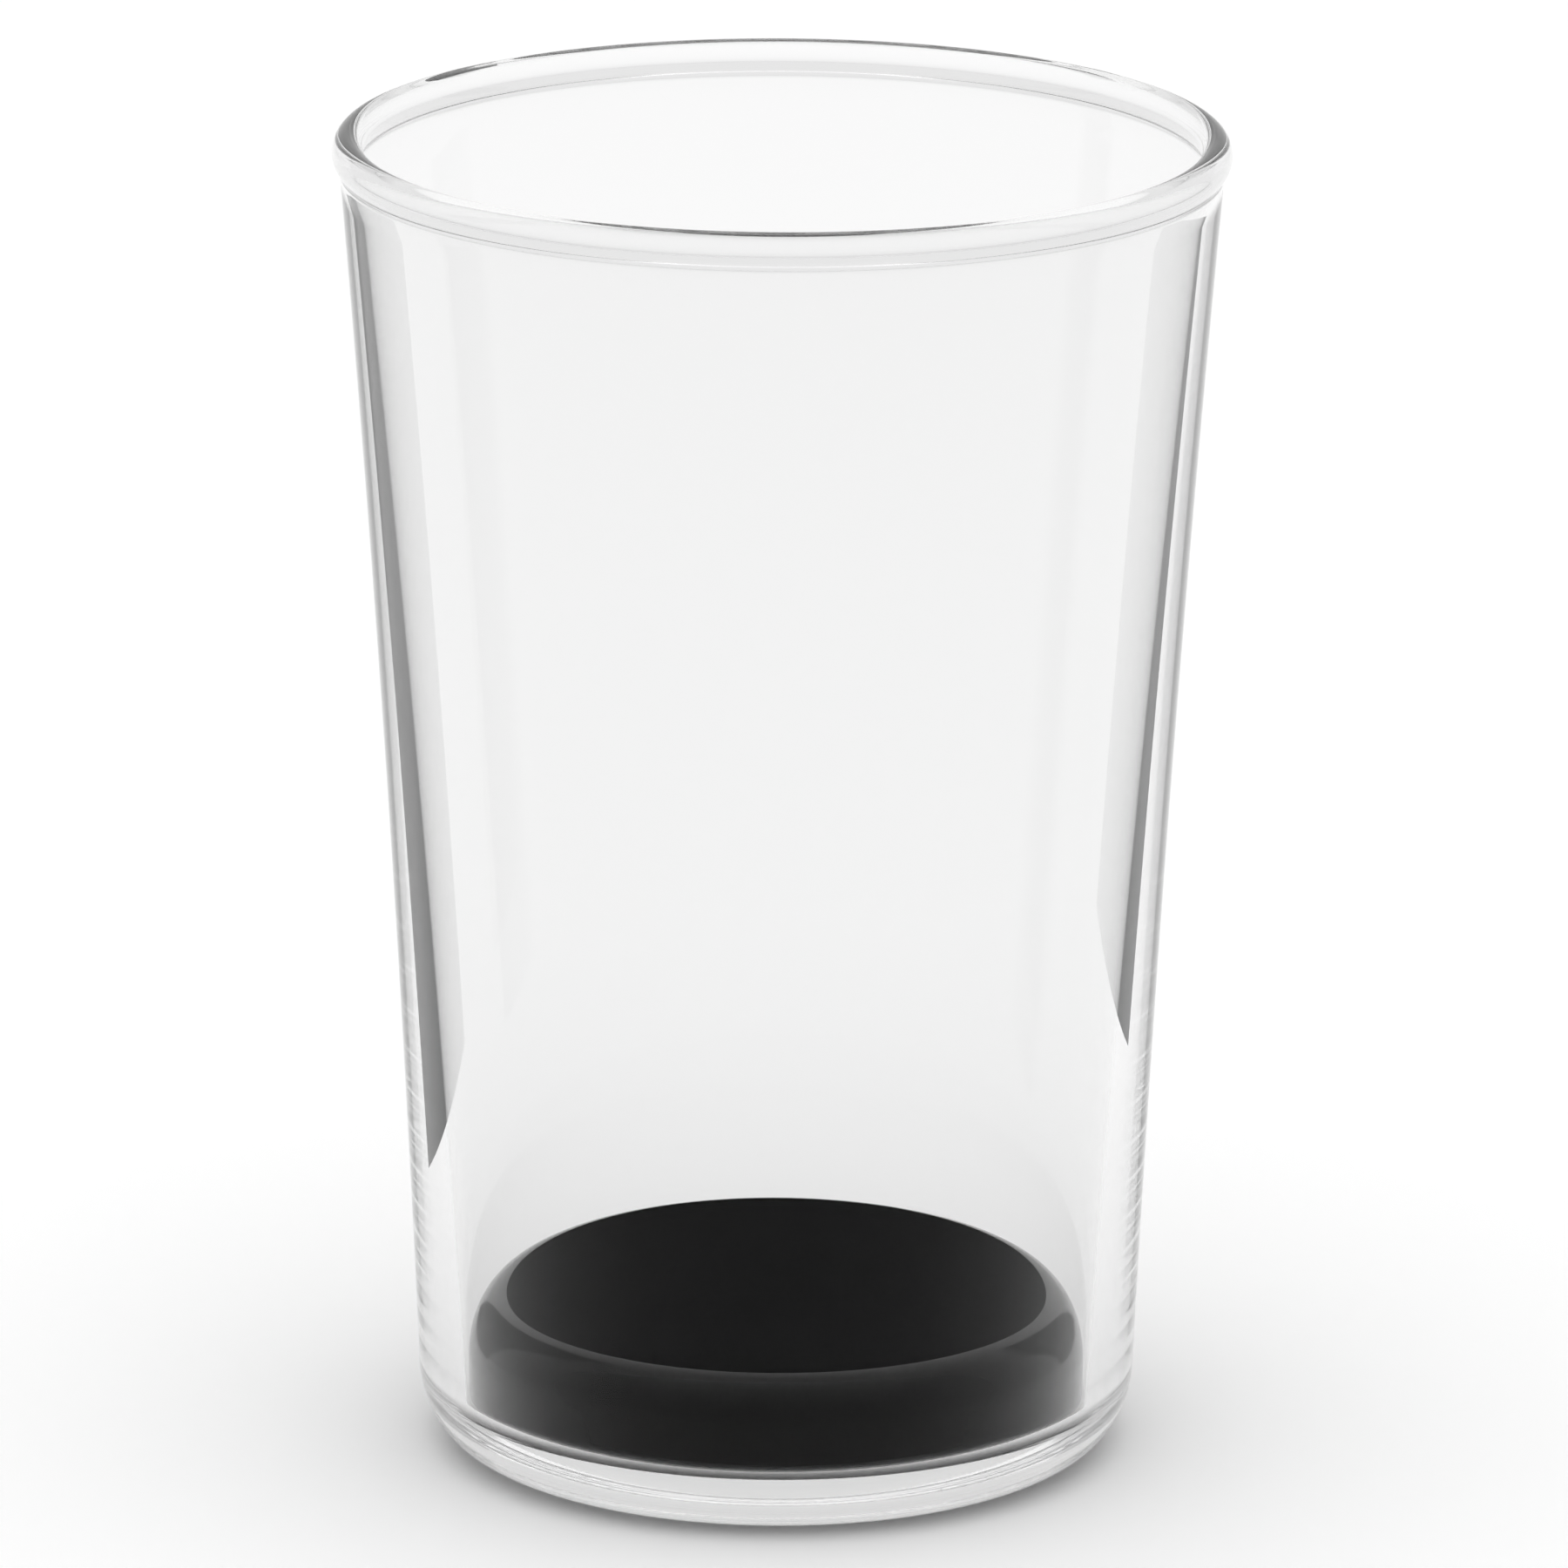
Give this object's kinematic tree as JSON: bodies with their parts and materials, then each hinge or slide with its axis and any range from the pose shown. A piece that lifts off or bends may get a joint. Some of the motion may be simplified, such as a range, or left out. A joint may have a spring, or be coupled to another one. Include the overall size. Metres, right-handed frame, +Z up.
{
  "type": "tasting glass",
  "caption": "Clear tapered tasting glass with a rounded rim bead and a heavy clear foot, and a black disc seated on the floor inside it.",
  "frame": {"origin": "centre of the foot, on the surface that the glass stands on", "axes": "+Z up along the glass's axis, towards the rim; +X and +Y are any two square directions, because the glass is round"},
  "size_m": [0.0602, 0.0602, 0.0912],
  "materials": {
    "clear_glass": "polished, clear and colourless",
    "black_resin": "smooth and flat black"
  },
  "bodies": {
    "root": {"glass_body": "clear_glass", "base_disc": "black_resin"}
  },
  "joints": []
}
